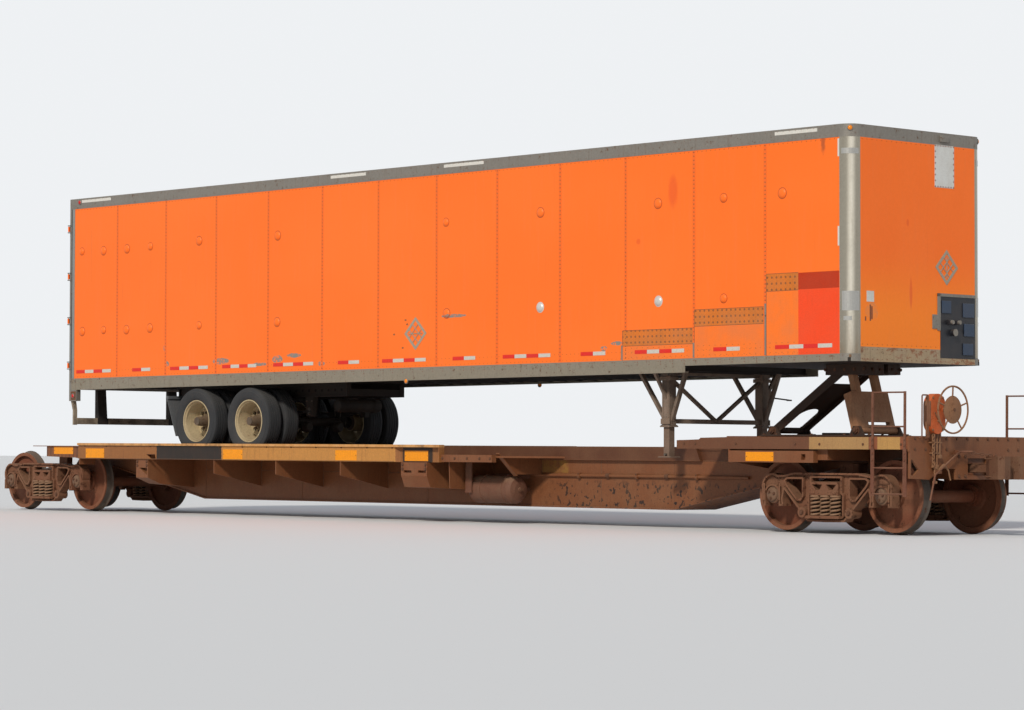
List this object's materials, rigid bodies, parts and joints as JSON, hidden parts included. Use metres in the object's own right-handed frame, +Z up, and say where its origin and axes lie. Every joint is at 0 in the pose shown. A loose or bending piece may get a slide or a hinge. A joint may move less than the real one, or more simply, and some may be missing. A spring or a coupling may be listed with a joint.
{
  "type": "spine flatcar end unit with van semi-trailer",
  "caption": "Articulated spine flatcar end unit with rail trucks, tyre decks and a folding hitch, loaded with a box van semi-trailer on tandem dual wheels.",
  "frame": {"origin": "centre of the overall box, at the height where the wheel flanges meet the floor", "axes": "+X along the car towards the hand brake end, +Y to the left side, +Z up"},
  "size_m": [19.9883, 2.672, 5.0511],
  "materials": {
    "car_brown": "weathered",
    "truck_cast": "rusty",
    "wheel_steel": "rusty",
    "spring_steel": "rusty",
    "hitch_dark": "worn",
    "ladder_brown": "worn",
    "reservoir_dark": "worn",
    "brake_orange": "worn",
    "brake_wheel": "rusty",
    "coupler_cast": "rusty",
    "trailer_orange": "gloss",
    "trailer_grey": "weathered",
    "trailer_stainless": "brushed",
    "trailer_roof": "satin",
    "trailer_floor": "oiled",
    "trailer_under": "satin",
    "trailer_door": "gloss",
    "tyre": "matte",
    "rim_cream": "worn",
    "mud_flap": "matte"
  },
  "bodies": {
    "car": {"spine": "car_brown", "articulated_connector": "car_brown", "tyre_decks": "car_brown", "deck_sills": "car_brown", "deck_brackets": "car_brown", "container_pedestals": "car_brown", "deck_arms": "car_brown", "end_side_sills": "car_brown", "walkways": "car_brown", "end_sill": "car_brown", "draft_pocket": "car_brown", "brake_pipe": "car_brown", "reservoir": "reservoir_dark", "hitch_base": "hitch_dark", "hitch_strut": "hitch_dark", "hitch_stanchion": "hitch_dark", "hitch_head": "hitch_dark", "ladders": "ladder_brown", "brake_stand": "brake_orange", "brake_wheel": "brake_wheel", "trailer_side_walls": "trailer_orange", "trailer_front_wall": "trailer_orange", "trailer_top_rails": "trailer_grey", "trailer_bottom_rails": "trailer_grey", "trailer_front_sill": "trailer_grey", "trailer_rear_frame": "trailer_grey", "trailer_corner_posts": "trailer_stainless", "trailer_roof": "trailer_roof", "trailer_floor": "trailer_floor", "trailer_crossmembers": "trailer_under", "upper_coupler": "trailer_under", "landing_gear": "trailer_under", "slider_frame": "trailer_under", "trailer_suspension": "trailer_under", "rear_guard": "trailer_under", "mud_flaps": "mud_flap"},
    "end_truck": {"end_truck_side_frames": "truck_cast", "end_truck_bolster": "truck_cast", "end_truck_springs": "spring_steel", "end_truck_brake_beams": "truck_cast"},
    "end_truck_inner_wheelset": {"end_truck_inner_wheelset": "wheel_steel"},
    "end_truck_outer_wheelset": {"end_truck_outer_wheelset": "wheel_steel"},
    "shared_truck": {"shared_truck_side_frames": "truck_cast", "shared_truck_bolster": "truck_cast", "shared_truck_springs": "spring_steel", "shared_truck_brake_beams": "truck_cast"},
    "shared_truck_inner_wheelset": {"shared_truck_inner_wheelset": "wheel_steel"},
    "shared_truck_outer_wheelset": {"shared_truck_outer_wheelset": "wheel_steel"},
    "coupler": {"coupler": "coupler_cast"},
    "trailer_wheels_front_right": {"trailer_tyres_front_right": "tyre", "trailer_rims_front_right": "rim_cream"},
    "trailer_wheels_front_left": {"trailer_tyres_front_left": "tyre", "trailer_rims_front_left": "rim_cream"},
    "trailer_wheels_rear_right": {"trailer_tyres_rear_right": "tyre", "trailer_rims_rear_right": "rim_cream"},
    "trailer_wheels_rear_left": {"trailer_tyres_rear_left": "tyre", "trailer_rims_rear_left": "rim_cream"},
    "trailer_door_right": {"trailer_door_right": "trailer_door"},
    "trailer_door_left": {"trailer_door_left": "trailer_door"}
  },
  "joints": [
    {"name": "end_truck_swivel", "type": "hinge", "parent": "car", "child": "end_truck", "pos_m": [7.91, 0, 0.7], "axis": [0, 0, 1], "range_deg": [-6, 6]},
    {"name": "end_truck_inner_wheelset_spin", "type": "hinge", "parent": "end_truck", "child": "end_truck_inner_wheelset", "pos_m": [7.021, 0, 0.4754], "axis": [0, 1, 0], "continuous": true},
    {"name": "end_truck_outer_wheelset_spin", "type": "hinge", "parent": "end_truck", "child": "end_truck_outer_wheelset", "pos_m": [8.799, 0, 0.4754], "axis": [0, 1, 0], "continuous": true},
    {"name": "shared_truck_swivel", "type": "hinge", "parent": "car", "child": "shared_truck", "pos_m": [-8.63, 0, 0.7], "axis": [0, 0, 1], "range_deg": [-6, 6]},
    {"name": "shared_truck_inner_wheelset_spin", "type": "hinge", "parent": "shared_truck", "child": "shared_truck_inner_wheelset", "pos_m": [-7.741, 0, 0.4754], "axis": [0, 1, 0], "continuous": true},
    {"name": "shared_truck_outer_wheelset_spin", "type": "hinge", "parent": "shared_truck", "child": "shared_truck_outer_wheelset", "pos_m": [-9.519, 0, 0.4754], "axis": [0, 1, 0], "continuous": true},
    {"name": "coupler_swing", "type": "hinge", "parent": "car", "child": "coupler", "pos_m": [9.1, 0, 0.83], "axis": [0, 0, 1], "range_deg": [-7, 7]},
    {"name": "trailer_wheels_front_right_spin", "type": "hinge", "parent": "car", "child": "trailer_wheels_front_right", "pos_m": [-3.205, -1, 1.4164], "axis": [0, 1, 0], "continuous": true},
    {"name": "trailer_wheels_front_left_spin", "type": "hinge", "parent": "car", "child": "trailer_wheels_front_left", "pos_m": [-3.205, 1, 1.4164], "axis": [0, 1, 0], "continuous": true},
    {"name": "trailer_wheels_rear_right_spin", "type": "hinge", "parent": "car", "child": "trailer_wheels_rear_right", "pos_m": [-4.455, -1, 1.4164], "axis": [0, 1, 0], "continuous": true},
    {"name": "trailer_wheels_rear_left_spin", "type": "hinge", "parent": "car", "child": "trailer_wheels_rear_left", "pos_m": [-4.455, 1, 1.4164], "axis": [0, 1, 0], "continuous": true},
    {"name": "trailer_door_right_swing", "type": "hinge", "parent": "car", "child": "trailer_door_right", "pos_m": [-7.68609, -1.306, 3.39769], "axis": [-0.0083, 0, 1], "range_deg": [0, 260]},
    {"name": "trailer_door_left_swing", "type": "hinge", "parent": "car", "child": "trailer_door_left", "pos_m": [-7.68609, 1.306, 3.39769], "axis": [0.0083, 0, -1], "range_deg": [0, 260]}
  ]
}
